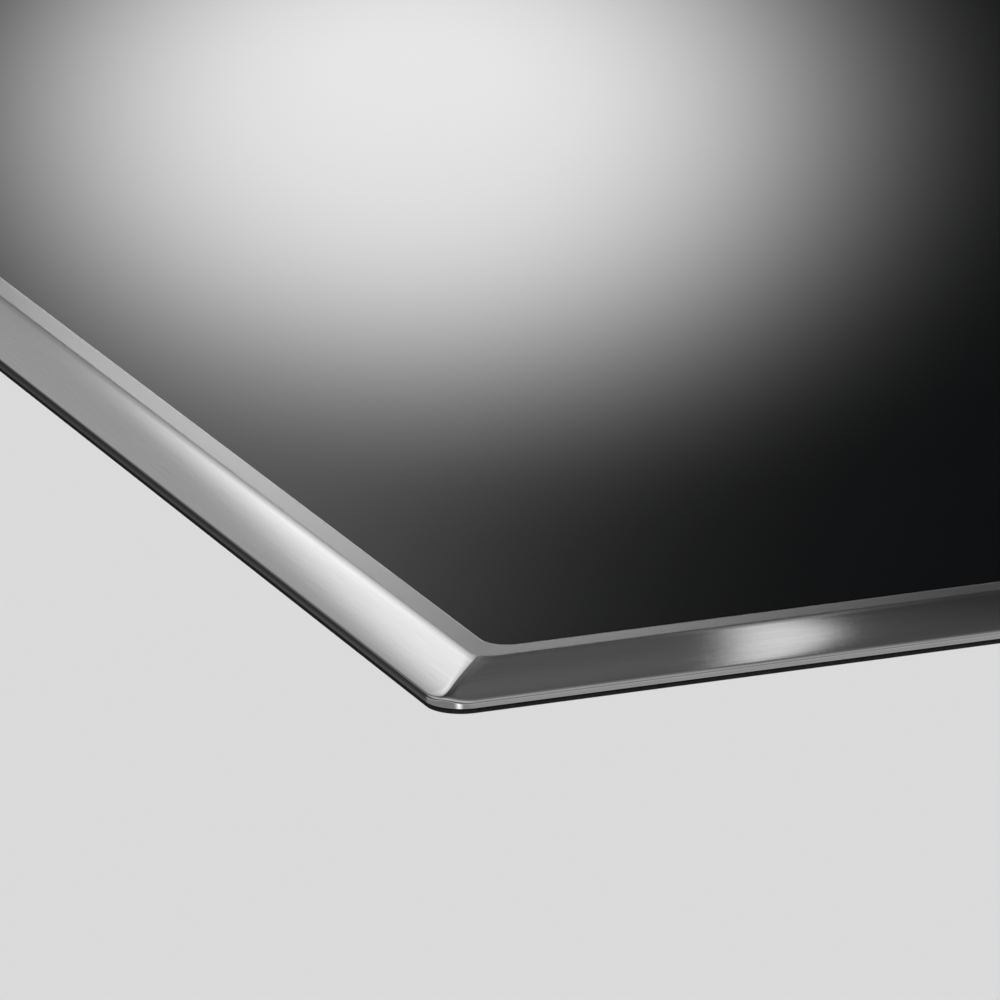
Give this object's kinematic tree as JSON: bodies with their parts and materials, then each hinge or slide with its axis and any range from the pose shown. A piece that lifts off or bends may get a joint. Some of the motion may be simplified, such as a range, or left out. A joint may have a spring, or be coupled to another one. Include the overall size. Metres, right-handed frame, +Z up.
{
  "type": "induction cooktop",
  "caption": "Built-in induction cooktop: black glass plate in a bevelled brushed-steel trim, with a flat housing that holds coils, power boards and blowers.",
  "frame": {"origin": "centre of the housing's underside, on the surface that it stands on", "axes": "+X to the user's right along the width, +Y to the back, +Z up"},
  "size_m": [0.576, 0.516, 0.05],
  "materials": {
    "trim_steel": "stainless steel, brushed along each side",
    "black_glass": "polished black glass ceramic",
    "silicone": "cured black silicone",
    "gasket_foam": "closed-cell foam, matt",
    "zinc_sheet": "galvanised sheet with a faint spangle",
    "screw_steel": "zinc plated",
    "clamp_steel": "galvanised strip",
    "coil_plate_aluminium": "mill finish",
    "post_plastic": "moulded",
    "spring_steel": "drawn wire",
    "former_plastic": "heat resistant moulding",
    "litz_wire": "enamelled copper strands",
    "insulation_felt": "mica and fibre disc",
    "ferrite": "pressed and sintered",
    "sensor_silicone": "soft cap",
    "lead_sleeve": "woven sleeve",
    "black_plastic": "glass-filled moulding",
    "board_laminate": "solder mask",
    "sink_aluminium": "extruded",
    "transistor_case": "epoxy case",
    "film_capacitor_case": "boxed",
    "capacitor_sleeve": "shrunk sleeve",
    "relay_case": "sealed box",
    "choke_winding": "enamelled wire on a ring core",
    "touch_sleeve": "tinned spring wire",
    "display_case": "moulded",
    "ribbon_grey": "flat cable",
    "terminal_white": "moulded",
    "clamp_white": "moulded strap with two screws"
  },
  "bodies": {
    "cooktop": {"trim_frame": "trim_steel", "glass_plate": "black_glass", "glass_adhesive": "silicone", "worktop_gasket": "gasket_foam", "carrier_frame": "zinc_sheet", "housing_tray": "zinc_sheet", "housing_screws": "screw_steel", "rivet_nuts": "screw_steel", "left_coil_plate": "coil_plate_aluminium", "right_coil_plate": "coil_plate_aluminium", "plate_posts": "post_plastic", "plate_springs": "spring_steel", "front_left_former": "former_plastic", "front_right_former": "former_plastic", "rear_left_former": "former_plastic", "rear_right_former": "former_plastic", "front_left_winding": "litz_wire", "front_right_winding": "litz_wire", "rear_left_winding": "litz_wire", "rear_right_winding": "litz_wire", "front_left_insulation": "insulation_felt", "front_right_insulation": "insulation_felt", "rear_left_insulation": "insulation_felt", "rear_right_insulation": "insulation_felt", "ferrite_bars": "ferrite", "coil_sensors": "sensor_silicone", "coil_leads": "lead_sleeve", "left_board_tray": "black_plastic", "right_board_tray": "black_plastic", "left_power_board": "board_laminate", "right_power_board": "board_laminate", "left_heat_sink": "sink_aluminium", "right_heat_sink": "sink_aluminium", "power_transistors": "transistor_case", "film_capacitors": "film_capacitor_case", "electrolytic_capacitors": "capacitor_sleeve", "relays": "relay_case", "mains_filter_board": "board_laminate", "filter_chokes": "choke_winding", "left_blower_housing": "black_plastic", "right_blower_housing": "black_plastic", "control_carrier": "black_plastic", "control_board": "board_laminate", "touch_springs": "touch_sleeve", "display_modules": "display_case", "control_ribbon": "ribbon_grey", "terminal_box": "black_plastic", "terminal_block": "terminal_white", "cable_clamp": "clamp_white"},
    "front_left_screw": {"front_left_clamp_screw": "screw_steel"},
    "front_left_arm": {"front_left_clamp_arm": "clamp_steel"},
    "front_right_screw": {"front_right_clamp_screw": "screw_steel"},
    "front_right_arm": {"front_right_clamp_arm": "clamp_steel"},
    "rear_left_screw": {"rear_left_clamp_screw": "screw_steel"},
    "rear_left_arm": {"rear_left_clamp_arm": "clamp_steel"},
    "rear_right_screw": {"rear_right_clamp_screw": "screw_steel"},
    "rear_right_arm": {"rear_right_clamp_arm": "clamp_steel"},
    "left_fan": {"left_impeller": "black_plastic"},
    "right_fan": {"right_impeller": "black_plastic"},
    "mains_flap": {"terminal_cover": "black_plastic"}
  },
  "joints": [
    {"name": "front_left_clamp_lift", "type": "slide", "parent": "cooktop", "child": "front_left_screw", "axis": [0, 0, 1], "range_m": [0, 0.009]},
    {"name": "front_left_clamp_swing", "type": "hinge", "parent": "front_left_screw", "child": "front_left_arm", "pos_m": [-0.265, -0.13, 0.0052], "axis": [0, 0, 1], "range_deg": [0, 90]},
    {"name": "front_right_clamp_lift", "type": "slide", "parent": "cooktop", "child": "front_right_screw", "axis": [0, 0, 1], "range_m": [0, 0.009]},
    {"name": "front_right_clamp_swing", "type": "hinge", "parent": "front_right_screw", "child": "front_right_arm", "pos_m": [0.265, -0.13, 0.0052], "axis": [0, 0, 1], "range_deg": [-90, 0]},
    {"name": "rear_left_clamp_lift", "type": "slide", "parent": "cooktop", "child": "rear_left_screw", "axis": [0, 0, 1], "range_m": [0, 0.009]},
    {"name": "rear_left_clamp_swing", "type": "hinge", "parent": "rear_left_screw", "child": "rear_left_arm", "pos_m": [-0.265, 0.13, 0.0052], "axis": [0, 0, 1], "range_deg": [-90, 0]},
    {"name": "rear_right_clamp_lift", "type": "slide", "parent": "cooktop", "child": "rear_right_screw", "axis": [0, 0, 1], "range_m": [0, 0.009]},
    {"name": "rear_right_clamp_swing", "type": "hinge", "parent": "rear_right_screw", "child": "rear_right_arm", "pos_m": [0.265, 0.13, 0.0052], "axis": [0, 0, 1], "range_deg": [0, 90]},
    {"name": "left_fan_spin", "type": "hinge", "parent": "cooktop", "child": "left_fan", "pos_m": [-0.17, 0.16, 0.013], "axis": [0, 0, 1], "continuous": true},
    {"name": "right_fan_spin", "type": "hinge", "parent": "cooktop", "child": "right_fan", "pos_m": [0.17, 0.16, 0.013], "axis": [0, 0, 1], "continuous": true},
    {"name": "mains_flap_hinge", "type": "hinge", "parent": "cooktop", "child": "mains_flap", "pos_m": [-0.016, 0.209, 0.0032], "axis": [-1, 0, 0], "range_deg": [0, 90]}
  ]
}
